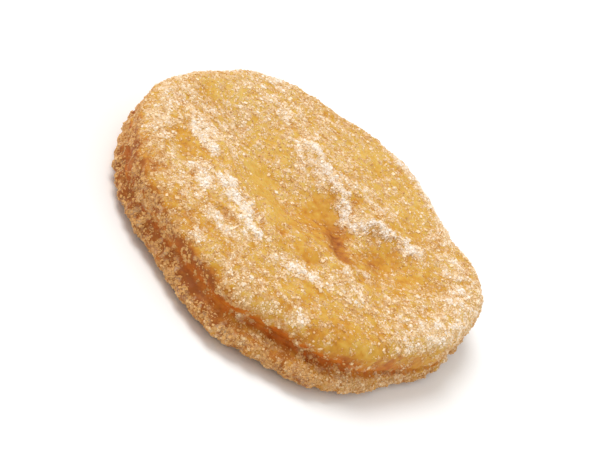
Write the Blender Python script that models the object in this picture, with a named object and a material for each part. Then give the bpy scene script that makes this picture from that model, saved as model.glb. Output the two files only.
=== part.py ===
"""A flat round beignet: two sheets of dough sealed round a filling, fried, and resting on its flat side.

The upper sheet has puffed into a low cushion, with a folded hollow across its middle. Its edge rolls over
a seam, and below the seam the softly fluted edge of the lower sheet stands out as a lip. The underside is
flat where the beignet rests, with a shallow dimple in its middle.

The origin is the middle of the resting side, +Z is up, and the lip stands out most towards -Y.
"""

import math

import bmesh
import bpy
from mathutils import Vector, noise

MM = 0.001

# The lip of the lower sheet, seen from above, and the soft flutes that its cutter left.
LIP_RADIUS = 46.3 * MM
FLUTES = 58
FLUTE_DEPTH = 0.28 * MM
UPPER_FLUTE_SHARE = 0.2
# Each bulge or flat of the outline: its direction and half width in degrees, and how far it moves the edge.
OUTLINE_BULGES = (
    (21, 14, 3.6 * MM),
    (33, 6, 1.0 * MM),
    (52, 15, -3.0 * MM),
    (101, 9, -0.9 * MM),
    (130, 16, 2.1 * MM),
    (175, 16, 1.4 * MM),
    (-119, 13, -2.3 * MM),
    (-91, 9, 1.5 * MM),
    (-64, 9, 0.9 * MM),
    (-27, 15, -3.0 * MM),
)

# These change round the edge: a least value, and a growth with its direction and half width in degrees.
LEDGE = (0.6 * MM, 3.6 * MM, -75, 30)  # The step from the lip in to the upper sheet.
SEAM_DEPTH = (0.4 * MM, 1.3 * MM, -58, 45)  # The crease that the upper sheet rolls over.
DROOP = (0.0, 3.2 * MM, -18, 27)  # How far the seam and the lip hang below their usual heights.

# Heights above the resting side, and how far in from its edge the upper sheet starts to roll over.
SHOULDER_HEIGHT = 15.0 * MM
SHOULDER_WIDTH = 6.0 * MM
CROWN_RISE = 0.7 * MM
ROLL_HEIGHT = 10.6 * MM
ROLL_TURNS = (0.0, 25.0, 45.0, 63.0, 80.0)
SEAM_HEIGHT = 7.6 * MM
UNDERCUT_SHARE = 0.4
UNDERCUT_RISE = 1.3 * MM

# The lip: its top, its slope up to the seam, its rounded edge, and the heel that it curves in to.
LIP_HEIGHT = 6.3 * MM
LIP_SLOPE = 0.7 * MM
LIP_ROUNDING = 0.8 * MM
LIP_WIDEST = 0.6
LIP_TUCK = 1.1 * MM
LIP_TUCK_HEIGHT = 0.3
HEEL_WIDTH = 4.2 * MM
HEEL_HEIGHT = 0.35 * MM

# The underside: a flat ring round a dimple.
REST_OUTER_RADIUS = 37.0 * MM
REST_INNER_RADIUS = 15.0 * MM
DIMPLE_HEIGHT = 1.4 * MM
DIMPLE_MIDWAY = 0.7

# The hollow, in millimetres: points along its floor, each with its depth and half width there.
HOLLOW = (
    (-34.0, 14.0, 0.8, 7.0),
    (-24.0, 9.0, 3.1, 8.0),
    (-13.0, 3.5, 4.5, 9.0),
    (-3.0, 1.5, 5.0, 9.5),
    (6.0, 3.0, 5.0, 8.0),
    (14.0, 2.0, 3.8, 7.0),
    (22.0, 2.5, 3.4, 7.5),
    (31.0, 4.5, 1.2, 6.0),
)

# The folds, in millimetres: each one's height, its half widths left and right of its crest, and the crest.
FOLDS = (
    (2.0, 2.2, 7.0, ((-39, -3), (-32, -1), (-26, -5), (-20, -11), (-14, -16), (-7, -20.5), (7, -24.5))),
    (0.8, 1.2, 3.0, ((-25, -24), (-19, -26), (-13, -24), (-7, -27.5))),
    (1.6, 7.0, 2.6, ((-14, 21), (-8, 17.5), (-2, 14), (2, 11.2), (5, 9.2), (8.2, 6.5), (9.8, 3), (10, -1))),
    (1.2, 4.5, 2.6, ((9, 6), (13, 8.6), (16.6, 10.9), (20, 12.3), (27, 12.6))),
    (1.0, 2.2, 3.5, ((1, -17.5), (8, -15), (13, -14.5), (18, -19), (25, -22))),
)
FOLD_END_SHARE = 0.12

# The pit where the folds meet, in millimetres: its place, depth and half width.
PIT = (10.8, -4.2, 1.5, 2.8)

LUMP_SIZE = 14.0 * MM
LUMP_HEIGHT = 0.6 * MM

# Points round the beignet: in its middle, on its faces, and round its edge, where each flute takes four.
MIDDLE_POINTS = FLUTES
FACE_POINTS = 2 * FLUTES
EDGE_POINTS = 4 * FLUTES
MIDDLE_RADIUS = 17.5 * MM
MIDDLE_RINGS = 7
FACE_RINGS = 9

CRUST_COLOUR = (0.72, 0.42, 0.13, 1.0)
CRUST_ROUGHNESS = 0.55


def bell(distance, half_width):
    return math.exp(-((distance / half_width) ** 2))


def swell(angle, direction, half_width):
    """A smooth bump round the edge: 1 in its direction, falling to 0 away from it. Both are in degrees."""
    turned = (math.degrees(angle) - direction + 180.0) % 360.0 - 180.0
    return bell(turned, half_width)


def round_edge(angle, least, growth, direction, half_width):
    return least + growth * swell(angle, direction, half_width)


def lip_radius(angle):
    return LIP_RADIUS + sum(amount * swell(angle, at, width) for at, width, amount in OUTLINE_BULGES)


def upper_radius(angle):
    """The outermost radius of the upper sheet."""
    return lip_radius(angle) - round_edge(angle, *LEDGE)


def shoulder_radius(angle):
    """The radius where the upper sheet starts to roll over."""
    return upper_radius(angle) - SHOULDER_WIDTH


def nearest_on_line(x, y, line):
    """How far along a line it comes nearest to (x, y), how near, and whether (x, y) is on its left."""
    best = (0.0, math.inf, True)
    for i, (start, end) in enumerate(zip(line, line[1:])):
        run = Vector(end[:2]) - Vector(start[:2])
        away = Vector((x, y)) - Vector(start[:2])
        share = min(1.0, max(0.0, away.dot(run) / run.length_squared))
        distance = (away - share * run).length
        if distance < best[1]:
            best = (i + share, distance, run.x * away.y > run.y * away.x)
    return best


def hollow_depth(x, y):
    along, distance, _ = nearest_on_line(x, y, HOLLOW)
    i = min(int(along), len(HOLLOW) - 2)
    share = along - i
    depth = (1.0 - share) * HOLLOW[i][2] + share * HOLLOW[i + 1][2]
    half_width = (1.0 - share) * HOLLOW[i][3] + share * HOLLOW[i + 1][3]
    return depth * bell(distance, half_width)


def fold_height(x, y):
    """The height that the folds add. Each fold tapers off towards its ends."""
    height = 0.0
    for rise, left_width, right_width, crest in FOLDS:
        along, distance, on_left = nearest_on_line(x, y, crest)
        share = FOLD_END_SHARE + (1.0 - 2.0 * FOLD_END_SHARE) * along / (len(crest) - 1)
        height += rise * math.sin(math.pi * share) * bell(distance, left_width if on_left else right_width)
    return height


def upper_height(x, y):
    """The height of the upper sheet inside its rolled edge."""
    share = min(1.0, math.hypot(x, y) / shoulder_radius(math.atan2(y, x)))
    x_mm, y_mm = x / MM, y / MM
    pit_x, pit_y, pit_depth, pit_width = PIT
    pit = pit_depth * bell(math.hypot(x_mm - pit_x, y_mm - pit_y), pit_width)
    relief = (fold_height(x_mm, y_mm) - hollow_depth(x_mm, y_mm) - pit) * MM
    lumps = LUMP_HEIGHT * noise.noise(Vector((x, y, 0.0)) / LUMP_SIZE)
    return SHOULDER_HEIGHT + CROWN_RISE * (1.0 - share**2) ** 2 + relief * (1.0 - share**8) + lumps


def on_circle(radius, angle, height):
    return Vector((radius * math.cos(angle), radius * math.sin(angle), height))


def on_upper_sheet(radius, angle):
    flat = on_circle(radius, angle, 0.0)
    return on_circle(radius, angle, upper_height(flat.x, flat.y))


def edge_profile(angle):
    """The points from the shoulder round the rolled edge, the seam and the lip, to the heel."""
    flute = FLUTE_DEPTH * math.sin(FLUTES * angle)
    shoulder = shoulder_radius(angle)
    upper = upper_radius(angle) + UPPER_FLUTE_SHARE * flute
    lip = lip_radius(angle) + flute
    seam_depth = round_edge(angle, *SEAM_DEPTH)
    seam_height = SEAM_HEIGHT - round_edge(angle, *DROOP)
    lip_height = LIP_HEIGHT - round_edge(angle, *DROOP)
    roll_rise = on_upper_sheet(shoulder, angle).z - ROLL_HEIGHT
    points = []
    for degrees in ROLL_TURNS:
        turn = math.radians(degrees)
        radius = shoulder + (upper - shoulder) * math.sin(turn)
        points.append((radius, ROLL_HEIGHT + roll_rise * math.cos(turn)))
    points.append((upper - UNDERCUT_SHARE * seam_depth, seam_height + UNDERCUT_RISE))
    points.append((upper - seam_depth, seam_height))
    points.append((upper, lip_height + LIP_SLOPE))
    points.append((lip - LIP_ROUNDING, lip_height - 0.5 * LIP_SLOPE))
    points.append((lip, LIP_WIDEST * lip_height))
    points.append((lip - LIP_TUCK, LIP_TUCK_HEIGHT * lip_height))
    points.append((lip - HEEL_WIDTH, HEEL_HEIGHT))
    return [on_circle(radius, angle, height) for radius, height in points]


def add_ring(mesh, count, point_at):
    return [mesh.verts.new(point_at(math.tau * i / count)) for i in range(count)]


def upper_rings(mesh):
    """The rings of the upper sheet, from its middle out to the shoulder."""
    rings = []
    for i in range(MIDDLE_RINGS):
        radius = MIDDLE_RADIUS * (i + 1) / MIDDLE_RINGS
        rings.append(add_ring(mesh, MIDDLE_POINTS, lambda angle: on_upper_sheet(radius, angle)))
    for i in range(FACE_RINGS):
        share = (i + 1) / (FACE_RINGS + 1)

        def point_at(angle):
            return on_upper_sheet((1.0 - share) * MIDDLE_RADIUS + share * shoulder_radius(angle), angle)

        rings.append(add_ring(mesh, FACE_POINTS, point_at))
    return rings


def edge_rings(mesh):
    profiles = [edge_profile(math.tau * i / EDGE_POINTS) for i in range(EDGE_POINTS)]
    return [[mesh.verts.new(point) for point in ring] for ring in zip(*profiles)]


def under_rings(mesh):
    """The rings of the underside, from the outside of its flat ring in to the dimple."""
    midway = 0.5 * REST_INNER_RADIUS
    return [
        add_ring(mesh, FACE_POINTS, lambda angle: on_circle(REST_OUTER_RADIUS, angle, 0.0)),
        add_ring(mesh, MIDDLE_POINTS, lambda angle: on_circle(REST_INNER_RADIUS, angle, 0.0)),
        add_ring(mesh, MIDDLE_POINTS, lambda angle: on_circle(midway, angle, DIMPLE_MIDWAY * DIMPLE_HEIGHT)),
    ]


def join_rings(mesh, first, second):
    """The faces between two rings, whose counts are equal or differ by a factor of two."""
    count = min(len(first), len(second))
    for i in range(count):
        j = (i + 1) % count
        if len(first) == len(second):
            mesh.faces.new((first[i], second[i], second[j], first[j]))
        elif len(first) < len(second):
            start, middle, end = second[2 * i], second[2 * i + 1], second[2 * j]
            mesh.faces.new((first[i], start, middle))
            mesh.faces.new((first[i], middle, first[j]))
            mesh.faces.new((first[j], middle, end))
        else:
            start, middle, end = first[2 * i], first[2 * i + 1], first[2 * j]
            mesh.faces.new((start, second[i], middle))
            mesh.faces.new((middle, second[i], second[j]))
            mesh.faces.new((middle, second[j], end))


def close_pole(mesh, ring, point):
    pole = mesh.verts.new(point)
    for i, vertex in enumerate(ring):
        mesh.faces.new((pole, vertex, ring[(i + 1) % len(ring)]))


def centre_on_origin(mesh):
    """Moves the mesh sideways so that the middle of its outline is at the origin."""
    middle = Vector((0.0, 0.0, 0.0))
    for axis in (0, 1):
        places = [vertex.co[axis] for vertex in mesh.verts]
        middle[axis] = 0.5 * (min(places) + max(places))
    bmesh.ops.translate(mesh, verts=mesh.verts, vec=-middle)


def crust_material():
    material = bpy.data.materials.new("fried_dough")
    material.use_nodes = True
    shader = material.node_tree.nodes["Principled BSDF"]
    shader.inputs["Base Color"].default_value = CRUST_COLOUR
    shader.inputs["Roughness"].default_value = CRUST_ROUGHNESS
    shader.inputs["Metallic"].default_value = 0.0
    return material


def make_beignet():
    mesh = bmesh.new()
    rings = upper_rings(mesh) + edge_rings(mesh) + under_rings(mesh)
    for first, second in zip(rings, rings[1:]):
        join_rings(mesh, first, second)
    close_pole(mesh, rings[0], on_upper_sheet(0.0, 0.0))
    close_pole(mesh, rings[-1], (0.0, 0.0, DIMPLE_HEIGHT))
    centre_on_origin(mesh)
    bmesh.ops.recalc_face_normals(mesh, faces=mesh.faces)
    data = bpy.data.meshes.new("beignet")
    mesh.to_mesh(data)
    mesh.free()
    data.materials.append(crust_material())
    data.shade_smooth()
    bpy.context.scene.collection.objects.link(bpy.data.objects.new("beignet", data))


for old in list(bpy.data.objects):
    bpy.data.objects.remove(old)
make_beignet()
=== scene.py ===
import math

import bpy
import numpy as np
from mathutils import Matrix, Vector, noise


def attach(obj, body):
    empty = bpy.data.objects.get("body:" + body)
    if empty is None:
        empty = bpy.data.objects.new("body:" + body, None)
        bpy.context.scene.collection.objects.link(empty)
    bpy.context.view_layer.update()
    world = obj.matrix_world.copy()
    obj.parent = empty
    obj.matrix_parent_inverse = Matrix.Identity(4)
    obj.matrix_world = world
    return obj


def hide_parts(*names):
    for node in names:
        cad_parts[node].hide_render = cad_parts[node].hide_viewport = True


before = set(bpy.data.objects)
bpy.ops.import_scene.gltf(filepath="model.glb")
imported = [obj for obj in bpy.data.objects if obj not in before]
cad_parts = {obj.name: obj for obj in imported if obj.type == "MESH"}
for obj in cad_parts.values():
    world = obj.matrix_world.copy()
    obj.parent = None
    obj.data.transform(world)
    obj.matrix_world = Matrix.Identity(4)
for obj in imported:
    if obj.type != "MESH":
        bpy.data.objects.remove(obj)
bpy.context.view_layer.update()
MM = 0.001


# The crust: two sheets of wheat dough, cut with a fluted cutter and sealed round a filling, then fried.
# The upper sheet puffed, and sank into folds as it cooled. Its edge rolls over the seam, and the edge of
# the lower sheet stands out below it as a lip. Its sizes are in millimetres until the mesh is made.
LIP_RADIUS = 46.3
# The cutter's flutes: how many and how deep, and how much of them the upper sheet keeps. Then how uneven
# they are, as the length of a stretch and its strength.
FLUTES, FLUTE_DEPTH, UPPER_FLUTE_SHARE = 58, 0.3, 0.2
FLUTE_UNEVENNESS = ((7.0, 0.9),)
# Each bulge or flat of the outline: its direction and half width in degrees, and how far it moves the edge.
OUTLINE_BULGES = (
    (21, 14, 3.6),
    (33, 6, 1.0),
    (52, 15, -3.0),
    (101, 9, -0.9),
    (130, 16, 2.1),
    (175, 16, 1.4),
    (-119, 13, -2.3),
    (-91, 9, 1.5),
    (-64, 9, 0.9),
    (-27, 15, -3.0),
)
# These change round the edge: a least value, and a growth with its direction and half width in degrees.
LEDGE = (0.6, 3.6, -75, 30)
SEAM_DEPTH = (0.4, 1.3, -58, 45)
DROOP = (0.0, 3.2, -18, 27)
# Heights above the resting side, and the other sizes of the edge.
SHOULDER_HEIGHT, SHOULDER_WIDTH, CROWN_RISE = 15.0, 6.0, 0.7
ROLL_HEIGHT, ROLL_TURNS = 10.6, (0, 25, 45, 63, 80)
SEAM_HEIGHT, UNDERCUT_SHARE, UNDERCUT_RISE = 7.6, 0.4, 1.3
LIP_HEIGHT, LIP_SLOPE, LIP_ROUNDING, LIP_WIDEST = 6.3, 0.7, 0.8, 0.6
LIP_TUCK, LIP_TUCK_HEIGHT, HEEL_WIDTH, HEEL_HEIGHT = 1.1, 0.3, 4.2, 0.75
REST_OUTER_RADIUS, REST_INNER_RADIUS, REST_GAP = 37.0, 15.0, 0.4
DIMPLE_HEIGHT, DIMPLE_STEEPNESS = 1.4, 0.8
# Places along the edge's profile, counted by its control points: where the upper sheet's roll ends, the
# side of the lip, the heel under it, and the underside.
ROLL_END, LIP_SIDE, HEEL, UNDERSIDE = 5.0, 10.0, 12.0, 13.0
# The hollow: points along its floor, each with its depth and half width there.
HOLLOW = (
    (-34.0, 14.0, 0.8, 7.0),
    (-24.0, 9.0, 3.1, 8.0),
    (-13.0, 3.5, 4.5, 9.0),
    (-3.0, 1.5, 5.0, 9.5),
    (6.0, 3.0, 5.0, 8.0),
    (14.0, 2.0, 3.8, 7.0),
    (22.0, 2.5, 3.4, 7.5),
    (31.0, 4.5, 1.2, 6.0),
)
# The folds: each one's height, its half widths left and right of its crest, and the crest.
FOLDS = (
    (2.0, 2.2, 7.0, ((-39, -3), (-32, -1), (-26, -5), (-20, -11), (-14, -16), (-7, -20.5), (7, -24.5))),
    (0.8, 1.2, 3.0, ((-25, -24), (-19, -26), (-13, -24), (-7, -27.5))),
    (1.6, 7.0, 2.6, ((-14, 21), (-8, 17.5), (-2, 14), (2, 11.2), (5, 9.2), (8.2, 6.5), (9.8, 3), (10, -1))),
    (1.2, 4.5, 2.6, ((9, 6), (13, 8.6), (16.6, 10.9), (20, 12.3), (27, 12.6))),
    (1.0, 2.2, 3.5, ((1, -17.5), (8, -15), (13, -14.5), (18, -19), (25, -22))),
)
# The pit of the hollow: its place, depth and half width.
PIT = (10.8, -4.2, 1.5, 2.8)
# Thin creases where the sheet buckled: depth, half width and line.
CREASES = (
    (0.5, 1.2, ((-31, -9), (-27, -10.5), (-23, -12.5), (-20, -15))),
    (0.9, 0.7, ((-17, -14.5), (-14, -17), (-9.5, -20), (-4, -24))),
    (0.6, 0.7, ((-20, -24.5), (-18, -26.3), (-15.5, -26), (-12, -27))),
    (0.9, 1.3, ((7.5, 3), (8.3, -1), (9.3, -5), (11, -9), (12.8, -12.5))),
    (0.7, 0.8, ((-2, 12), (3, 8.8), (7.2, 5))),
    (0.4, 0.9, ((12.5, 5.5), (16, 8.2), (19.5, 9.6), (25, 9.6))),
    (0.6, 0.6, ((17.5, -9.5), (18.3, -12), (18, -15))),
    (0.5, 0.6, ((4, -11), (4.5, -16))),
    (0.5, 0.8, ((-38, -19), (-36, -23), (-33, -27))),
)
# A fold or crease tapers along its line as a sine does, from this share of its half wave.
FOLD_END_SHARE, CREASE_END_SHARE = 0.12, 0.1
# Lumps, wrinkles and wobbles, each with its size and its height. The lumps are the CAD's.
LUMPS = ((14.0, 0.6),)
WRINKLES = ((5.0, 0.42), (2.6, 0.28), (1.4, 0.16))
EDGE_WOBBLE = ((9.0, 0.5), (3.2, 0.28))
# How much of the wrinkles' height the crust takes, and how much darker its colour is where they sink and
# lighter where they rise.
WRINKLE_SHARE, WRINKLE_DARKENING = 0.8, 0.35
# How much of the wobble shows on the upper sheet's rim, in the lip's height, and in the lip and the seam.
UPPER_WOBBLE_SHARE, LIP_SAG_SHARE, FRAY_SHARE = 0.8, 0.7, 0.5
# How far apart the skin's rings of points are, and how many points of a full ring fall on a flute.
RING_SPACING = 0.42
UNDER_RING_SPACING = 1.4 * RING_SPACING
POINTS_ON_FLUTE = 10
# On the top, rings have half those points inside the first radius, and a quarter inside the second.
HALF_RADIUS, QUARTER_RADIUS = 24.0, 12.0
# Underneath, rings have half, and a quarter inside the first radius. They stop before the second.
UNDER_QUARTER_RADIUS, LAST_RADIUS = 16.0, 0.5
# How far the edge's curve is carried on inside the shoulder and inside the resting ring, to start and end
# in the direction of the surface there.
LEAD_IN, LEAD_OUT = 3.0 * RING_SPACING, 2.0
# Where the sugar lies in drifts: its strength, half width and line.
DRIFTS = (
    (0.6, 3.2, ((-34, -2), (-30, -4))),
    (0.85, 1.8, ((-34, -5), (-29.5, -7.8), (-25.5, -10.2))),
    (0.95, 2.4, ((-19.6, -17.2), (-17.2, -18.4), (-13.8, -19.6), (-10.6, -20.8))),
    (0.6, 2.6, ((-26, -17), (-23, -21))),
    (0.9, 1.7, ((-9.5, -24.8), (-6.5, -26))),
    (0.6, 1.5, ((0, -27.5), (3, -28))),
    (0.6, 1.8, ((-17, -29.5), (-11.5, -30.5))),
    (0.9, 2.1, ((4, -25.8), (9, -25))),
    (0.5, 1.3, ((13.5, -13), (14.5, -16))),
    (0.25, 2.3, ((15.5, -17.5), (21, -20))),
    (0.7, 1.2, ((17.6, -9), (19, -9))),
    (0.4, 4.0, ((-10, 17), (-6, 15), (-2, 13))),
    (0.85, 1.3, ((-10, 19.5), (-6, 16.8), (-1.6, 13.6), (1.6, 11.2), (4.7, 9.2), (7.4, 6.9), (9.0, 4.0))),
    (0.9, 1.3, ((9.8, 5.5), (14, 9), (18, 10.2), (22, 10.9), (26, 11.2))),
    (0.5, 2.5, ((8, 43), (16, 39), (22, 33))),
    (0.25, 2.4, ((-25, 9), (-21, 9.5))),
    (0.2, 2.5, ((-23, -1), (-21, -4))),
    (0.25, 1.5, ((-5, -41), (-2, -40.5))),
    (0.4, 1.5, ((12, -38), (15, -39))),
    (0.5, 1.4, ((-17, -37), (-14, -37.5))),
    (0.3, 5.0, ((34, -18), (38.5, -6), (40.5, 5), (39, 14))),
    (0.5, 2.4, ((35, 18), (38, 15))),
    (0.3, 5.0, ((-41, 4), (-41, -4), (-38, -15))),
    (0.4, 3.0, ((-30, 33), (-25, 36))),
    (0.25, 4.0, ((-30, 8), (-27, 16))),
    (0.2, 6.0, ((-30, 26), (-14, 24))),
    (0.3, 2.5, ((5, 16), (15, 16))),
    (0.2, 4.0, ((-36, -18), (-29, -25), (-20, -27))),
    (0.15, 4.0, ((-8, -33), (-6, -38))),
    (0.25, 3.0, ((26, 29), (31, 25))),
    (0.2, 4.0, ((-36, 6), (-35, 0))),
)
# Where the crust shows: how bare and how brown it is, and the half width and line of the patch. The narrow
# patches along the creases' lines are partly browner crust and partly painted shade in the creases.
PATCHES = (
    (1.0, 0.20, 6.4, ((-15.5, 1), (-13, -5), (-5, -9))),
    (0.8, 0.20, 2.4, ((-25, -5), (-18.5, -10.5), (-13, -14), (-7, -18))),
    (0.7, 0.40, 3.4, ((2, -12), (4, -17), (6, -20))),
    (0.85, 0.40, 4.0, ((0, 2), (0, -6))),
    (0.95, 0.49, 4.2, ((1, 7), (4, 3), (5, -4), (4, -8))),
    (1.2, 0.68, 4.0, ((6.6, 1.5), (8.5, -3), (11.5, -9))),
    (1.2, 0.82, 2.2, ((7, 0), (8.3, -4), (10, -8), (11.5, -10.5))),
    (0.8, 0.56, 4.8, ((21, 7), (20, 0), (18, -6))),
    (0.8, 0.64, 2.2, ((20, 3), (20, -2))),
    (0.6, 0.34, 2.6, ((27, 6), (26.5, 1), (27, -6))),
    (0.5, 0.44, 2.0, ((31, 7), (32, 4))),
    (0.45, 0.06, 4.2, ((-37, 11), (-33, 17), (-28, 20))),
    (0.4, 0.18, 7.0, ((6, 33), (18, 28))),
    (0.55, 0.15, 3.8, ((-21, 14.5), (-14, 10.5))),
    (0.6, 0.52, 1.8, ((21, 16), (22, 17.5))),
    (0.7, 0.56, 1.7, ((5.5, 13), (6.5, 11.5))),
    (0.5, 0.42, 2.5, ((18, 7), (23, 8))),
    # Painted shade along a crease, on crust that is browner there too.
    (0.5, 0.56, 1.4, ((-28, -12), (-25.5, -13.2), (-22, -15.6))),
    (0.8, 0.50, 4.0, ((-33, -11.5), (-28, -14.5))),
    (0.6, 0.22, 1.8, ((-35, -8.5), (-33.5, -7.5))),
    (0.6, 0.60, 1.4, ((-19, -25.6), (-16.5, -26), (-13, -26.3))),
    # Painted shadow: a thin dark line along the crease at the drift's edge.
    (0.7, 0.62, 0.6, ((-16, -16.2), (-13.5, -18.2), (-9.5, -20.7), (-4.5, -24))),
    (0.5, 0.32, 1.8, ((-15, -32), (-12.5, -34))),
    (0.45, 0.38, 5.0, ((15, -30), (23, -31), (29, -27))),
    (0.5, 0.46, 2.2, ((19, -33), (21.5, -34))),
    (0.6, 0.52, 1.8, ((7, -37), (9, -38))),
    (0.5, 0.50, 2.2, ((30, -29), (32, -27))),
    (0.5, 0.52, 2.2, ((-38, -19), (-36, -23), (-33, -27))),
    (0.5, 0.56, 1.8, ((-29.5, -32), (-27.5, -34))),
    (0.7, 0.60, 2.0, ((16.5, -37), (18, -41))),
    (0.5, 0.48, 1.0, ((4, -12), (4.4, -16))),
    (0.5, 0.50, 0.9, ((18, -11), (18.3, -14))),
    (0.2, 0.42, 6.0, ((-24, -31), (-14, -35), (-4, -37))),
    (0.1, 0.36, 8.0, ((31, -16), (34, -4), (33, 8))),
    (0.6, 0.34, 3.2, ((20, 14), (22, 18))),
    (0.5, 0.20, 3.4, ((8, 22), (17, 22.5))),
    (0.5, 0.30, 2.4, ((-2, 16), (1, 17))),
    (0.6, 0.37, 3.2, ((5, -33), (10, -29))),
    (0.7, 0.42, 2.2, ((-3, -18), (-1, -21))),
    (0.3, 0.34, 2.6, ((20, -13), (23, -16))),
    (0.4, 0.32, 2.5, ((-24, -14), (-21, -16))),
    (0.2, 0.40, 6.0, ((-36, -12), (-39, 2), (-38, 8))),
)
# How much sugar lies on plain crust, and how much a drift adds to it.
BASE_SUGAR = 0.42
DRIFT_SUGAR = 0.6
# How much of it a bare patch, the seam and the underside lose.
BARE_LOSS = 0.42
SEAM_LOSS = 0.42
UNDER_LOSS = 0.33
# How much the lip's side adds, and how wide it is in places of the profile.
LIP_SUGAR, LIP_SUGAR_WIDTH = 0.2, 0.8
# How brown plain crust is, how much browner the seam and the heel are, and how much of the browning's
# unevenness is left on the edge.
BASE_BROWN = 0.28
SEAM_BROWNING = 0.28
HEEL_BROWNING = 0.2
EDGE_BROWNING_SHARE = 0.4
# How strong the sugar's clumps are on plain crust, and how much stronger in a drift and in the seam. A bare
# patch loses this share of them.
PLAIN_CLUMPS = 0.6
DRIFT_CLUMPS = 0.4
SEAM_CLUMPS = 1.2
BARE_CLUMP_LOSS = 0.55
# How much drifts and clumps pile up, where the sugar is also whiter.
DRIFT_PILING = 0.9
CLUMP_PILING = 0.4
# Unevenness, each with its size and strength: of the sugar, of the browning, and of every outline.
CLUMPS = ((8.0, 0.12), (3.6, 0.28), (2.1, 0.52), (1.2, 0.58))
BROWNING = ((11.0, 0.10), (4.5, 0.18), (2.0, 0.26))
RAGGEDNESS = ((4.5, 1.5), (2.0, 1.0), (1.2, 0.6))
# How much of that raggedness the bands of the edge have, in places of the profile.
BAND_RAGGEDNESS = 0.25
# How far the crust lies inside the sugar's outline, and how thick the sugar is where it drifts.
COAT_THICKNESS, DRIFT_THICKNESS = 0.3, 0.25
# In how many places the marks of the top fade out before the roll's end, and the crust's rise before the
# underside.
TOP_FADE, UNDER_FADE = 1.5, 2.0
# Where a band starts and ends along the edge's profile, and how soft its edges are: the bare seam, the
# browner heel, and the barer underside.
SEAM_BAND = (5.5, 7.7, 0.7)
HEEL_BAND = (HEEL, math.inf, 2.0)
UNDER_BAND = (HEEL + 0.5, math.inf, 1.0)
# Where the seam shows whole: its strength, direction and half width in degrees. Elsewhere it shows in
# stretches, of this size and strength. They have this share of the whole seam, and a trace is everywhere.
WHOLE_SEAM = (0.75, -68, 46)
SEAM_STRETCHES = ((3.5, 2.0),)
STRETCH_SHARE, SEAM_TRACE = 0.4, 0.05
# Other bands of the edge: the same three, a direction and half width in degrees, and how much browner and
# barer it is. A half width of 720 is all round. Some bands paint light and shade into the crust's colour.
EDGE_BANDS_AND_PAINTED_LIGHT = (
    (4.2, 12.0, 1.5, 0, 720, 0.27, -0.01),
    # Painted shade, with browner crust: the bands at -150, -135, -128, -112, -103 and -101 degrees darken
    # the side that a neighbouring beignet shaded.
    (4.2, 12.0, 1.5, -128, 36, 0.20, 0.0),
    (7.3, 11.5, 0.8, 0, 720, 0.22, 0.12),
    (3.0, 11.5, 1.2, -150, 14, 0.26, 0.16),
    (2.8, 6.0, 1.2, -112, 18, 0.16, 0.12),
    (2.6, 6.0, 1.4, -52, 18, 0.02, 0.32),
    (0.8, 5.5, 1.5, -135, 28, 0.12, 0.0),
    # Painted light: the bands at -3 and 3 degrees make the right end lighter and less brown, where more
    # light fell on it.
    (2.2, 6.5, 1.2, -3, 22, -0.38, -0.26),
    (6.8, 9.8, 0.8, -33, 18, -0.14, -0.22),
    (6.0, 10.0, 1.0, 3, 16, -0.36, -0.14),
    (7.7, 9.2, 0.6, -101, 12, 0.16, 0.32),
    (5.0, 7.5, 1.0, -132, 10, 0.0, -0.20),
    (0.8, 3.0, 1.0, -152, 12, 0.0, -0.24),
    (0.5, 4.0, 1.0, -90, 20, -0.03, -0.13),
    (2.4, 4.6, 1.0, -68, 26, -0.07, 0.0),
    (4.0, 5.6, 0.8, -103, 8, 0.14, 0.10),
    (4.8, 7.2, 0.8, -21, 20, 0.10, 0.38),
)


def bell(distance, half_width):
    """One at no distance, falling smoothly to nought beyond the half width."""
    return np.exp(-((distance / half_width) ** 2))


def swell(angle, direction, half_width):
    """A bell round the edge, with its direction and half width in degrees."""
    return bell((np.degrees(angle) - direction + 180.0) % 360.0 - 180.0, half_width)


def round_edge(angle, least, growth, direction, half_width):
    return least + growth * swell(angle, direction, half_width)


def lip_radius(angle):
    return LIP_RADIUS + sum(amount * swell(angle, at, width) for at, width, amount in OUTLINE_BULGES)


def upper_radius(angle):
    return lip_radius(angle) - round_edge(angle, *LEDGE)


def nearest_on_line(x, y, line):
    """For each point: how far along a line it comes nearest, how near, and whether it is on the left."""
    along, nearest, on_left = np.zeros_like(x), np.full_like(x, np.inf), np.ones_like(x, bool)
    for i, (start, end) in enumerate(zip(line, line[1:])):
        run_x, run_y = end[0] - start[0], end[1] - start[1]
        away_x, away_y = x - start[0], y - start[1]
        share = np.clip((away_x * run_x + away_y * run_y) / (run_x**2 + run_y**2), 0.0, 1.0)
        distance = np.hypot(away_x - share * run_x, away_y - share * run_y)
        closer = distance < nearest
        along = np.where(closer, i + share, along)
        on_left = np.where(closer, run_x * away_y > run_y * away_x, on_left)
        nearest = np.where(closer, distance, nearest)
    return along, nearest, on_left


def rough(points, size, seed):
    """Smooth noise from about -1 to 1, with lumps of the given size."""
    offset = Vector((seed, 1.7 * seed, -seed))
    return np.array([noise.noise(Vector(point) / size + offset) for point in points])


def unevenness(points, parts, seed):
    return sum(strength * rough(points, size, seed) for size, strength in parts)


def taper(along, line, end_share):
    """The share of a fold or crease that is left at each point along its line."""
    return np.sin(np.pi * (end_share + (1.0 - 2.0 * end_share) * along / (len(line) - 1)))


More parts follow.
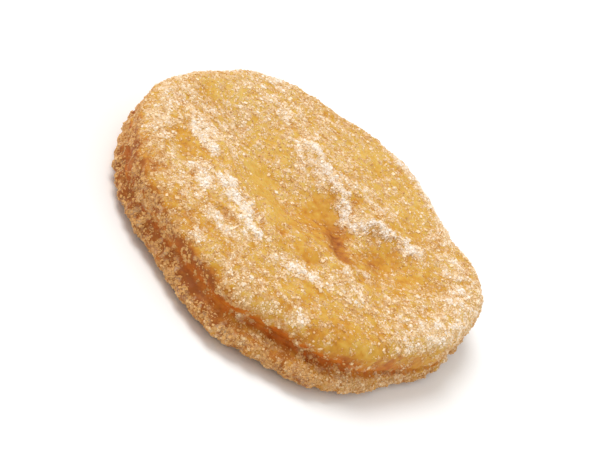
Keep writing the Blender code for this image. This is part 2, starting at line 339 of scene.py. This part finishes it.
def upper_height(x, y):
    """The height of the upper sheet inside its rolled edge, with its hollow, folds, creases and lumps."""
    share = np.minimum(1.0, np.hypot(x, y) / (upper_radius(np.arctan2(y, x)) - SHOULDER_WIDTH))
    along, distance, _ = nearest_on_line(x, y, HOLLOW)
    depth = np.interp(along, range(len(HOLLOW)), [point[2] for point in HOLLOW])
    half_width = np.interp(along, range(len(HOLLOW)), [point[3] for point in HOLLOW])
    relief = -depth * bell(distance, half_width)
    for rise, left_width, right_width, crest in FOLDS:
        along, distance, on_left = nearest_on_line(x, y, crest)
        half_width = np.where(on_left, left_width, right_width)
        relief += rise * taper(along, crest, FOLD_END_SHARE) * bell(distance, half_width)
    pit_x, pit_y, depth, half_width = PIT
    relief -= depth * bell(np.hypot(x - pit_x, y - pit_y), half_width)
    for depth, half_width, line in CREASES:
        along, distance, _ = nearest_on_line(x, y, line)
        relief -= depth * taper(along, line, CREASE_END_SHARE) * bell(distance, half_width)
    crown = CROWN_RISE * (1.0 - share**2) ** 2
    lumps = unevenness(np.stack((x, y, np.zeros_like(x)), axis=-1), LUMPS, seed=0.0)
    return SHOULDER_HEIGHT + crown + relief * (1.0 - share**8) + lumps


def smooth_through(stations, spacing):
    """Points on a smooth curve through all but the two end stations, and their places along it."""
    lengths = np.linalg.norm(np.diff(stations, axis=0), axis=2).mean(axis=1)
    curve, places = [], []
    for k in range(1, len(stations) - 2):
        before, start, end, after = stations[k - 1 : k + 3]
        count = max(2, math.ceil(lengths[k] / spacing))
        for t in np.arange(count) / count:
            square = 2.0 * before - 5.0 * start + 4.0 * end - after
            cube = 3.0 * start - 3.0 * end + after - before
            curve.append(start + 0.5 * ((end - before) * t + square * t**2 + cube * t**3))
            places.append(k + t)
    return curve, places


def edge_stations(angle):
    """The radius and height of the edge's control points, from the shoulder to the heel, all round."""
    level = np.ones_like(angle)
    on_edge = np.stack((np.cos(angle), np.sin(angle), 0.0 * level), axis=-1) * LIP_RADIUS
    upper_wobble, sag, fray = (unevenness(on_edge, EDGE_WOBBLE, seed) for seed in (3.0, 8.0, 15.0))
    flute = FLUTE_DEPTH * np.sin(FLUTES * angle) * (1.0 + unevenness(on_edge, FLUTE_UNEVENNESS, seed=21.0))
    shoulder = upper_radius(angle) - SHOULDER_WIDTH
    upper = upper_radius(angle) + UPPER_FLUTE_SHARE * flute + UPPER_WOBBLE_SHARE * upper_wobble
    lip = lip_radius(angle) + flute + FRAY_SHARE * fray
    seam_depth = round_edge(angle, *SEAM_DEPTH) + FRAY_SHARE * fray
    seam_height = SEAM_HEIGHT - round_edge(angle, *DROOP) + sag
    lip_height = LIP_HEIGHT - round_edge(angle, *DROOP) + LIP_SAG_SHARE * sag
    inside = shoulder - LEAD_IN
    stations = [(inside, upper_height(inside * np.cos(angle), inside * np.sin(angle)))]
    roll_rise = upper_height(shoulder * np.cos(angle), shoulder * np.sin(angle)) - ROLL_HEIGHT
    for turn in np.radians(ROLL_TURNS):
        radius = shoulder + (upper - shoulder) * np.sin(turn)
        stations.append((radius, ROLL_HEIGHT + roll_rise * np.cos(turn)))
    stations += [
        (upper - UNDERCUT_SHARE * seam_depth, seam_height + UNDERCUT_RISE),
        (upper - seam_depth, seam_height),
        (upper, lip_height + LIP_SLOPE),
        (lip - LIP_ROUNDING, lip_height - 0.5 * LIP_SLOPE),
        (lip, LIP_WIDEST * lip_height),
        (lip - LIP_TUCK, LIP_TUCK_HEIGHT * lip_height),
        (lip - HEEL_WIDTH, HEEL_HEIGHT * level),
        (REST_OUTER_RADIUS * level, REST_GAP * level),
        ((REST_OUTER_RADIUS - LEAD_OUT) * level, REST_GAP * level),
    ]
    return np.array([np.stack(station, axis=-1) for station in stations])


def under_height(x, y):
    share = np.clip(1.0 - np.hypot(x, y) / REST_INNER_RADIUS, 0.0, 1.0)
    return REST_GAP + DIMPLE_HEIGHT * share**DIMPLE_STEEPNESS


def crust_rings():
    """The rings from the middle of the top to that of the underside: x, y, z and place on the edge."""
    full = FLUTES * POINTS_ON_FLUTE
    half, quarter = full // 2, full // 4
    rings = []

    def add_rings(count, radii, height_at, place):
        angle = np.arange(count) * math.tau / count
        for radius in radii:
            x, y = radius * np.cos(angle), radius * np.sin(angle)
            rings.append(np.stack((x, y, height_at(x, y), np.full(count, place)), axis=-1))

    add_rings(quarter, np.arange(RING_SPACING, QUARTER_RADIUS, RING_SPACING), upper_height, 0.0)
    add_rings(half, np.arange(QUARTER_RADIUS, HALF_RADIUS, RING_SPACING), upper_height, 0.0)
    angle = np.arange(full) * math.tau / full
    beyond = upper_radius(angle) - SHOULDER_WIDTH - HALF_RADIUS
    steps = round(beyond.mean() / RING_SPACING)
    add_rings(full, (HALF_RADIUS + beyond * step / steps for step in range(steps)), upper_height, 0.0)
    for ring, place in zip(*smooth_through(edge_stations(angle), RING_SPACING)):
        radius, height = ring.T
        x, y = radius * np.cos(angle), radius * np.sin(angle)
        rings.append(np.stack((x, y, height, np.full(full, place)), axis=-1))
    outer_radii = np.arange(REST_OUTER_RADIUS, UNDER_QUARTER_RADIUS, -UNDER_RING_SPACING)
    inner_radii = np.arange(UNDER_QUARTER_RADIUS, LAST_RADIUS, -UNDER_RING_SPACING)
    add_rings(half, outer_radii, under_height, UNDERSIDE)
    add_rings(quarter, inner_radii, under_height, UNDERSIDE)
    return rings


def stitched(rings):
    """A closed skin through rings that have as many, twice or half the points of the ring before."""
    counts = [len(ring) for ring in rings]
    starts = np.cumsum([0] + counts)
    triangles = []
    for start, count, next_start, next_count in zip(starts, counts, starts[1:], counts[1:]):
        i = np.arange(min(count, next_count))
        j = (i + 1) % len(i)
        if count == next_count:
            triangles.append((start + i, next_start + i, next_start + j))
            triangles.append((start + i, next_start + j, start + j))
        else:
            wide, narrow = (next_start, start) if count < next_count else (start, next_start)
            a, b, c = wide + 2 * i, wide + 2 * i + 1, wide + 2 * j
            fan = [(narrow + i, a, b), (narrow + i, b, narrow + j), (narrow + j, b, c)]
            triangles += fan if count < next_count else [triple[::-1] for triple in fan]
    for ring in (0, len(rings) - 1):
        i = starts[ring] + np.arange(counts[ring])
        j = starts[ring] + (np.arange(counts[ring]) + 1) % counts[ring]
        pole = np.full(len(i), starts[-1] + (ring > 0))
        triangles.append((pole, i, j) if ring == 0 else (pole, j, i))
    poles = [rings[ring].mean(axis=0) for ring in (0, -1)]
    return np.vstack(rings + poles), np.vstack([np.stack(triple, axis=1) for triple in triangles])


def band(place, start, end, softness):
    """One between two places of the edge's profile, and nought outside them."""
    started = np.clip((place - start) / softness + 0.5, 0.0, 1.0)
    not_ended = np.clip((end - place) / softness + 0.5, 0.0, 1.0)
    return started * not_ended


def coating(points, place):
    """For each point: how much sugar lies there and piles up, how brown the crust is with its painted shade
    and light, and the bare seam.
    """
    angle = np.arctan2(points[:, 1], points[:, 0])
    x = points[:, 0] + unevenness(points, RAGGEDNESS, seed=61.0)
    y = points[:, 1] + unevenness(points, RAGGEDNESS, seed=83.0)
    ragged_place = place + BAND_RAGGEDNESS * (y - points[:, 1])
    on_top = np.clip((ROLL_END - place) / TOP_FADE, 0.0, 1.0)
    clumps = unevenness(points, CLUMPS, seed=31.0)
    browning_share = EDGE_BROWNING_SHARE + (1.0 - EDGE_BROWNING_SHARE) * on_top
    brown = BASE_BROWN + unevenness(points, BROWNING, seed=47.0) * browning_share
    drift, bare = np.zeros_like(x), np.zeros_like(x)
    for strength, half_width, line in DRIFTS:
        _, distance, _ = nearest_on_line(x, y, line)
        drift = np.maximum(drift, strength * bell(distance, half_width) * on_top)
    # The narrow patches on the creases paint shade into the crust's brown.
    for bareness, brownness_and_painted_shade, half_width, line in PATCHES:
        _, distance, _ = nearest_on_line(x, y, line)
        inside = bell(distance, half_width) * on_top
        bare = np.maximum(bare, bareness * inside)
        brown += (brownness_and_painted_shade - brown) * inside
    strongest, direction, half_width = WHOLE_SEAM
    whole = strongest * swell(angle, direction, half_width)
    stretches = np.clip(0.5 + unevenness(points, SEAM_STRETCHES, seed=12.0), 0.0, 1.0)
    seam = band(ragged_place, *SEAM_BAND)
    seam *= SEAM_TRACE + whole + (strongest - whole) * STRETCH_SHARE * stretches
    brown += SEAM_BROWNING * seam + HEEL_BROWNING * band(place, *HEEL_BAND)
    clumps *= (PLAIN_CLUMPS + DRIFT_CLUMPS * drift + SEAM_CLUMPS * seam) * (1.0 - BARE_CLUMP_LOSS * bare)
    sugar = BASE_SUGAR + DRIFT_SUGAR * drift - BARE_LOSS * bare - SEAM_LOSS * seam + clumps
    # Some of these bands paint shade and light into the crust's brown.
    for start, end, softness, direction, half_width, browner_and_painted_light, barer in EDGE_BANDS_AND_PAINTED_LIGHT:
        inside = band(ragged_place, start, end, softness) * swell(angle, direction, half_width)
        brown += browner_and_painted_light * inside
        sugar -= barer * inside
    sugar += LIP_SUGAR * bell(place - LIP_SIDE, LIP_SUGAR_WIDTH)
    sugar -= UNDER_LOSS * band(place, *UNDER_BAND)
    piled = DRIFT_PILING * drift + CLUMP_PILING * clumps
    return np.clip((sugar, piled, brown, seam), 0.0, 1.0)


def make_skin():
    """The crust's mesh, wrinkled and raised under the drifts, with its coating in four attributes."""
    points, triangles = stitched(crust_rings())
    points, place = points[:, :3], points[:, 3]
    mesh = bpy.data.meshes.new("crust")
    mesh.from_pydata(points, [], triangles.tolist())
    normals = np.empty(len(points) * 3)
    mesh.vertex_normals.foreach_get("vector", normals)
    sugar, drift, brown, seam = coating(points, place)
    wrinkle = unevenness(points, WRINKLES, seed=5.0)
    brown = np.clip(brown - WRINKLE_DARKENING * wrinkle, 0.0, 1.0)
    rise = WRINKLE_SHARE * wrinkle + DRIFT_THICKNESS * drift - COAT_THICKNESS
    rise *= np.clip((UNDERSIDE - place) / UNDER_FADE, 0.0, 1.0)
    points = points + rise[:, None] * normals.reshape(-1, 3)
    points[:, :2] -= 0.5 * (points[:, :2].min(axis=0) + points[:, :2].max(axis=0))
    mesh.vertices.foreach_set("co", (points * MM).ravel())
    for name, values in (("sugar", sugar), ("drift", drift), ("brown", brown), ("seam", seam)):
        mesh.attributes.new(name, "FLOAT", "POINT").data.foreach_set("value", values)
    mesh.shade_smooth()
    mesh.update()
    return mesh


class Value:
    """An output of a node, which Python's operators add Math nodes to."""

    def __init__(self, tree, socket):
        self.tree = tree
        self.socket = socket

    def other(self, output):
        """Another output of the same node."""
        return Value(self.tree, self.socket.node.outputs[output])

    def math(self, operation, *others):
        return self.tree.add("ShaderNodeMath", {"operation": operation}, dict(enumerate((self, *others))))

    def clamped(self):
        return self.tree.add("ShaderNodeClamp", None, {0: self})

    def __add__(self, other):
        return self.math("ADD", other)

    def __sub__(self, other):
        return self.math("SUBTRACT", other)

    def __rsub__(self, other):
        return self.tree.add("ShaderNodeMath", {"operation": "SUBTRACT"}, {0: other, 1: self})

    def __mul__(self, other):
        return self.math("MULTIPLY", other)

    def __pow__(self, other):
        return self.math("POWER", other)

    __radd__ = __add__
    __rmul__ = __mul__


class Tree:
    """A node tree that is being built."""

    def __init__(self, tree):
        self.tree = tree

    def add(self, kind, settings=None, sockets=None, output=0):
        """Adds a node, makes its settings, sets or links its sockets, and gives one of its outputs."""
        node = self.tree.nodes.new(kind)
        for name, value in (settings or {}).items():
            if name == "stops":
                while len(node.color_ramp.elements) < len(value):
                    node.color_ramp.elements.new(1.0)
                for stop, (position, colour) in zip(node.color_ramp.elements, value):
                    stop.position = position
                    stop.color = (*colour, 1.0)
            else:
                setattr(node, name, value)
        for name, value in (sockets or {}).items():
            if isinstance(value, Value):
                self.tree.links.new(value.socket, node.inputs[name])
            else:
                node.inputs[name].default_value = value
        return Value(self, node.outputs[output]) if len(node.outputs) else None

    def noise(self, place, size):
        """Noise from 0 to 1 with features of the given size in millimetres."""
        return self.add("ShaderNodeTexNoise", None, {"Vector": place, "Scale": 1.0 / (size * MM)})

    def uneven(self, place, size, strength):
        """Noise that adds or takes away up to half the strength, with features of the given size."""
        return (self.noise(place, size) - 0.5) * strength

    def attribute(self, name):
        return self.add("ShaderNodeAttribute", {"attribute_name": name}, output="Fac")

    def mixed(self, share, first, second):
        """A colour between two colours, each a link or three numbers."""
        first, second = ((*c, 1.0) if isinstance(c, tuple) else c for c in (first, second))
        return self.add("ShaderNodeMix", {"data_type": "RGBA"}, {0: share, 6: first, 7: second}, output=2)


def new_material(name, looks):
    """A material. Its looks are a function that takes its node tree and gives its shader's sockets."""
    material = bpy.data.materials.new(name)
    material.use_nodes = True
    material.node_tree.nodes.clear()
    tree = Tree(material.node_tree)
    shader = tree.add("ShaderNodeBsdfPrincipled", None, looks(tree))
    tree.add("ShaderNodeOutputMaterial", None, {"Surface": shader})
    return material


PALE_DOUGH = (0.715, 0.45, 0.105)
GOLDEN_CRUST = (0.65, 0.360, 0.055)
ORANGE_CRUST = (0.59, 0.268, 0.029)
BROWN_CRUST = (0.46, 0.160, 0.022)
DARK_CRUST = (0.30, 0.082, 0.012)
# Painted light: the seam's glow, a brighter and redder colour than its shaded groove would show.
SEAM_GLOW_COLOUR = (0.67, 0.160, 0.012)
TAN_FILM = (0.80, 0.60, 0.30)
PEACH_FILM = (0.84, 0.58, 0.38)
WHITE_FILM = (0.97, 0.85, 0.74)
# How brown the crust is, with its painted shade and light, from 0 to 1, for each of its colours.
CRUST_STOPS = (
    (0.0, PALE_DOUGH),
    (0.3, GOLDEN_CRUST),
    (0.52, ORANGE_CRUST),
    (0.76, BROWN_CRUST),
    (1.0, DARK_CRUST),
)
# Mottles, each with its size and strength: of the browning, the seam's painted glow, the film's tint and
# gaps.
LARGE_BROWN_MOTTLE, SMALL_BROWN_MOTTLE, SEAM_GLOW_MOTTLE = (4.0, 0.5), (1.5, 0.8), (1.8, 1.6)
TINT_MOTTLE, GAP_MOTTLE = (3.0, 3.0), (1.1, 2.6)
# How strongly the seam shows its painted glow, painted light in its groove, and how much of the film is
# peach and not tan.
SEAM_GLOW_SHARE = 0.7
PEACH_SHARE = 0.5
# How fast the film closes as the sugar thickens, and how late it starts to.
FILM_GROWTH = 1.6
FILM_LAG = 0.4
# How well the film hides the crust, and how much better in a drift.
FILM_COVER = 0.55
DRIFT_COVER = 0.4
# The film's height, and the width and depth of the crust's pores.
FILM_HEIGHT = 0.08
PORE_WIDTH, PORE_DEPTH = 0.7, 0.14
# How rough the crust is, and how much rougher the film.
CRUST_ROUGHNESS = 0.5
FILM_ROUGHENING = 0.25


def crust_looks(tree):
    """Fried dough, browner and painted darker in its creases, painted aglow in its seam, under a film of
    melted sugar and its finest grains.
    """
    place = tree.add("ShaderNodeTexCoord", output="Object")
    mottle = tree.uneven(place, *LARGE_BROWN_MOTTLE) + tree.uneven(place, *SMALL_BROWN_MOTTLE)
    brown = tree.attribute("brown") + mottle
    dough = tree.add("ShaderNodeValToRGB", {"stops": CRUST_STOPS}, {"Fac": brown})
    # Painted light: the seam's groove is brightened towards a glowing red-brown, for the light that fills
    # it.
    glow = tree.attribute("seam") * (SEAM_GLOW_SHARE + tree.uneven(place, *SEAM_GLOW_MOTTLE))
    dough = tree.mixed(glow.clamped(), dough, SEAM_GLOW_COLOUR)
    drift = tree.attribute("drift")
    tint = PEACH_SHARE + tree.uneven(place, *TINT_MOTTLE)
    film_colour = tree.mixed(drift, tree.mixed(tint.clamped(), TAN_FILM, PEACH_FILM), WHITE_FILM)
    closed = tree.attribute("sugar") * FILM_GROWTH - FILM_LAG + tree.uneven(place, *GAP_MOTTLE)
    film = closed.clamped() * (FILM_COVER + DRIFT_COVER * drift)
    height = film * FILM_HEIGHT + tree.noise(place, PORE_WIDTH) * PORE_DEPTH
    return {
        "Base Color": tree.mixed(film, dough, film_colour),
        "Roughness": CRUST_ROUGHNESS + film * FILM_ROUGHENING,
        "Normal": tree.add("ShaderNodeBump", None, {"Strength": 0.8, "Distance": MM, "Height": height}),
        "Specular IOR Level": 0.15,
        "Subsurface Weight": 0.25,
        "Subsurface Radius": (1.0, 0.5, 0.2),
        "Subsurface Scale": 2.0 * MM,
    }


def add_piece(name, mesh):
    """Puts a finished piece of the beignet in the scene."""
    piece = bpy.data.objects.new(name, mesh)
    bpy.context.scene.collection.objects.link(piece)
    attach(piece, "root")
    return piece


skin = make_skin()
skin.materials.append(new_material("sugared_crust", crust_looks))
crust = add_piece("crust", skin)
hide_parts("beignet")


# The sugar: granulated crystals that stuck to the hot crust, whole ones and broken ones, with the dust that
# rubs off them. Frying fat tints them. They lie thickest in the drifts and thinnest in the hollow.

# The power that makes small grains commoner than large ones.
SMALLNESS = 1.6
# How far a grain sinks into the crust and keeps above the ground, as shares of its size.
SINK_SHARE = 0.18
CLEARANCE_SHARE = 1.05
# The shortest and the longest that a side of a grain may be, as shares of its size.
STRETCH = (0.65, 1.2)


def sowing(name, add_grain):
    """A node tree that sows grains over a skin, by how much sugar its attribute says lies there."""
    group = bpy.data.node_groups.new(name, "GeometryNodeTree")
    sockets = {
        "Skin": "Geometry",
        "Per Square Metre": "Float",
        "Gathering": "Float",
        "Smallest": "Float",
        "Largest": "Float",
        "Pile": "Float",
        "Seed": "Int",
        "Finish": "Material",
    }
    for socket, kind in sockets.items():
        group.interface.new_socket(name=socket, in_out="INPUT", socket_type="NodeSocket" + kind)
    group.interface.new_socket(name="Grains", in_out="OUTPUT", socket_type="NodeSocketGeometry")
    tree = Tree(group)
    given = {socket: tree.add("NodeGroupInput", output=socket) for socket in sockets}

    def chance(number):
        seed = given["Seed"] + number
        return tree.add("FunctionNodeRandomValue", {"data_type": "FLOAT"}, {"Seed": seed}, output=1)

    def chances(number, least, most):
        ends = {0: (least,) * 3, 1: (most,) * 3, "Seed": given["Seed"] + number}
        return tree.add("FunctionNodeRandomValue", {"data_type": "FLOAT_VECTOR"}, ends)

    def stored(attribute):
        return tree.add("GeometryNodeInputNamedAttribute", None, {"Name": attribute})

    def vector(operation, first, second):
        return tree.add("ShaderNodeVectorMath", {"operation": operation}, {0: first, 1: second})

    density = given["Per Square Metre"] * stored("sugar") ** given["Gathering"]
    spots = tree.add(
        "GeometryNodeDistributePointsOnFaces",
        None,
        {"Mesh": given["Skin"], "Density": density, "Seed": given["Seed"]},
    )
    size = given["Smallest"] + (given["Largest"] - given["Smallest"]) * chance(1) ** SMALLNESS
    lift = chance(2) * stored("drift") * given["Pile"] - size * SINK_SHARE
    position = tree.add("GeometryNodeInputPosition")
    spot = vector("ADD", position, vector("MULTIPLY", spots.other("Normal"), lift))
    lowest = tree.add("ShaderNodeCombineXYZ", None, {0: -1.0, 1: -1.0, 2: size * CLEARANCE_SHARE})
    lifted = tree.add(
        "GeometryNodeSetPosition",
        None,
        {"Geometry": spots, "Position": vector("MAXIMUM", spot, lowest)},
    )
    grains = tree.add(
        "GeometryNodeInstanceOnPoints",
        None,
        {
            "Points": lifted,
            "Instance": add_grain(tree),
            "Rotation": chances(3, 0.0, math.tau),
            "Scale": vector("MULTIPLY", chances(4, *STRETCH), size),
        },
    )
    shaded = tree.add(
        "GeometryNodeStoreNamedAttribute",
        {"data_type": "FLOAT", "domain": "INSTANCE"},
        {"Geometry": grains, "Name": "shade", "Value": chance(5)},
    )
    whole = tree.add("GeometryNodeRealizeInstances", None, {"Geometry": shaded})
    finished = tree.add("GeometryNodeSetMaterial", None, {"Geometry": whole, "Material": given["Finish"]})
    tree.add("NodeGroupOutput", None, {"Grains": finished})
    return group


def sow(name, add_grain, **inputs):
    """Sows grains over the crust, and adds them as one piece."""
    group = sowing(name, add_grain)
    sower = bpy.data.objects.new(name, skin)
    bpy.context.scene.collection.objects.link(sower)
    modifier = sower.modifiers.new(name, "NODES")
    modifier.node_group = group
    inputs = {key.replace("_", " ").title(): value for key, value in inputs.items()}
    for item in group.interface.items_tree:
        if item.name in inputs:
            modifier[item.identifier] = inputs[item.name]
    depsgraph = bpy.context.evaluated_depsgraph_get()
    mesh = bpy.data.meshes.new_from_object(
        sower.evaluated_get(depsgraph), preserve_all_data_layers=True, depsgraph=depsgraph
    )
    bpy.data.objects.remove(sower)
    mesh.materials.clear()
    mesh.materials.append(inputs["Finish"])
    mesh.polygons.foreach_set("material_index", np.zeros(len(mesh.polygons), np.int32))
    return add_piece(name, mesh)


# The shapes of the grains, each about one across before it is scaled.
def add_block(tree):
    return tree.add("GeometryNodeMeshCube", None, {"Size": (1.0, 1.0, 1.0)})


def add_wedge(tree):
    return tree.add("GeometryNodeMeshCylinder", None, {"Vertices": 3, "Radius": 0.6, "Depth": 0.9})


def add_splinter(tree):
    return tree.add("GeometryNodeMeshUVSphere", None, {"Segments": 4, "Rings": 2, "Radius": 0.6})


def add_chip(tree):
    sockets = {"Vertices": 3, "Radius Top": 0.0, "Radius Bottom": 0.65, "Depth": 0.9}
    return tree.add("GeometryNodeMeshCone", None, sockets)


AMBER_SUGAR = (0.66, 0.36, 0.12)
TAN_SUGAR = (0.82, 0.57, 0.30)
CREAM_SUGAR = (0.925, 0.725, 0.475)
WHITE_SUGAR = (0.96, 0.87, 0.77)
# How white a crystal is, from 0 to 1, for each of its colours.
SUGAR_STOPS = ((0.0, AMBER_SUGAR), (0.35, TAN_SUGAR), (0.65, CREAM_SUGAR), (1.0, WHITE_SUGAR))
# What a crystal's own shade, the sugar and the drift round it, and the crust's brown with its painted shade
# and light add to its whiteness.
BASE_WHITENESS = -0.1
SHADE_WEIGHT = 0.75
SUGAR_WEIGHT = 0.4
DRIFT_WEIGHT = 0.6
BROWN_AND_PAINTED_LIGHT_WEIGHT = -0.9
# How uneven that is from place to place: the size and strength.
CRYSTAL_MOTTLE = (1.0, 0.6)


def crystal_looks(tree):
    """Crystals from tan to white, by their own shade, the sugar round them and the crust under them."""
    place = tree.add("ShaderNodeTexCoord", output="Object")
    whiteness = BASE_WHITENESS + tree.uneven(place, *CRYSTAL_MOTTLE)
    whiteness += SHADE_WEIGHT * tree.attribute("shade") + SUGAR_WEIGHT * tree.attribute("sugar")
    # The crust's brown carries its painted shade and light, which darken and lighten the crystals with it.
    whiteness += DRIFT_WEIGHT * tree.attribute("drift") + BROWN_AND_PAINTED_LIGHT_WEIGHT * tree.attribute("brown") ** 2
    return {
        "Base Color": tree.add("ShaderNodeValToRGB", {"stops": SUGAR_STOPS}, {"Fac": whiteness}),
        "Roughness": 0.4,
        "Specular IOR Level": 0.25,
    }


crystal = new_material("sugar_crystal", crystal_looks)
SQUARE_METRE = 1.0 / MM**2
# Each kind of grain: its shape, its number on a square millimetre where the sugar is full, how far it keeps
# to the fullest places, its smallest and largest size, how high it piles up in a drift, and its seed.
for name, add_grain, per_square_mm, gathering, smallest, largest, pile, seed in (
    ("sugar_blocks", add_block, 3.0, 1.6, 0.36, 0.76, 0.25, 11),
    ("sugar_wedges", add_wedge, 5.6, 1.5, 0.34, 0.70, 0.25, 23),
    ("sugar_splinters", add_splinter, 5.4, 1.2, 0.30, 0.64, 0.25, 37),
    ("sugar_dust", add_chip, 8.0, 0.85, 0.18, 0.36, 0.20, 53),
):
    sow(
        name,
        add_grain,
        per_square_metre=per_square_mm * SQUARE_METRE,
        gathering=gathering,
        smallest=smallest * MM,
        largest=largest * MM,
        pile=pile * MM,
        seed=seed,
        finish=crystal,
    )


# The setting: a pale floor, soft light from behind and from the left, and a camera that looks down on the
# side where the lip stands out. It is rolled so that the beignet's long way runs down to the right.
scene = bpy.context.scene
scene.view_settings.view_transform = "Standard"
FLOOR_REACH = 1.5
floor_mesh = bpy.data.meshes.new("floor")
corners = [(x * FLOOR_REACH, y * FLOOR_REACH, 0.0) for x, y in ((-1, -1), (1, -1), (1, 1), (-1, 1))]
floor_mesh.from_pydata(corners, [], [(0, 1, 2, 3)])
floor = bpy.data.objects.new("floor", floor_mesh)
scene.collection.objects.link(floor)


def paper_looks(tree):
    return {"Base Color": (0.96, 0.96, 0.96, 1.0), "Roughness": 0.9}


floor_mesh.materials.append(new_material("white_paper", paper_looks))

# The sky's colour, how strongly it lights the beignet, and how bright it looks behind it.
SKY_COLOUR = (1.0, 0.99, 0.97, 1.0)
SKY_LIGHT = 0.76
SKY_WHITE = 1.1
world = bpy.data.worlds.new("studio")
world.use_nodes = True
world.node_tree.nodes.clear()
sky = Tree(world.node_tree)
seen = sky.add("ShaderNodeLightPath", output="Is Camera Ray")
strength = SKY_LIGHT + seen * (SKY_WHITE - SKY_LIGHT)
background = sky.add("ShaderNodeBackground", None, {"Color": SKY_COLOUR, "Strength": strength})
sky.add("ShaderNodeOutputWorld", None, {"Surface": background})
scene.world = world

CAMERA_ELEVATION, CAMERA_ROLL = math.radians(33.0), math.radians(38.3)
CAMERA_DISTANCE, TARGET_HEIGHT = 0.5, 8.8 * MM
# The lens's focal length and the sensor's width, in millimetres as Blender takes them.
FOCAL_LENGTH, SENSOR_WIDTH = 129.0, 36.0
level = Vector((1.0, 0.0, 0.0))
upright = Vector((0.0, math.sin(CAMERA_ELEVATION), math.cos(CAMERA_ELEVATION)))
towards = Vector((0.0, -math.cos(CAMERA_ELEVATION), math.sin(CAMERA_ELEVATION)))
right = math.cos(CAMERA_ROLL) * level + math.sin(CAMERA_ROLL) * upright
up = math.cos(CAMERA_ROLL) * upright - math.sin(CAMERA_ROLL) * level
middle = Vector((0.0, 0.0, TARGET_HEIGHT))


def facing(name, data, x_axis, y_axis, z_axis, place):
    """An object whose own axes lie along the three given ones."""
    thing = bpy.data.objects.new(name, data)
    turn = Matrix((x_axis, y_axis, z_axis)).transposed().to_4x4()
    thing.matrix_world = Matrix.Translation(place) @ turn
    scene.collection.objects.link(thing)
    return thing


lens = bpy.data.cameras.new("camera")
lens.sensor_width = SENSOR_WIDTH
lens.lens = FOCAL_LENGTH
scene.camera = facing("camera", lens, right, up, towards, middle + CAMERA_DISTANCE * towards)

# The lamp's strength, how wide it looks from the beignet, and where it stands.
KEY_STRENGTH = 1.63
KEY_WIDTH = math.radians(30.0)
KEY_AZIMUTH, KEY_ELEVATION = math.radians(160.0), math.radians(60.0)
key = bpy.data.lights.new("key", "SUN")
key.energy = KEY_STRENGTH
key.angle = KEY_WIDTH
key_direction = Vector(
    (
        math.cos(KEY_ELEVATION) * math.cos(KEY_AZIMUTH),
        math.cos(KEY_ELEVATION) * math.sin(KEY_AZIMUTH),
        math.sin(KEY_ELEVATION),
    )
)
across = key_direction.cross(level).normalized()
facing("key", key, across.cross(key_direction), across, key_direction, middle + key_direction)
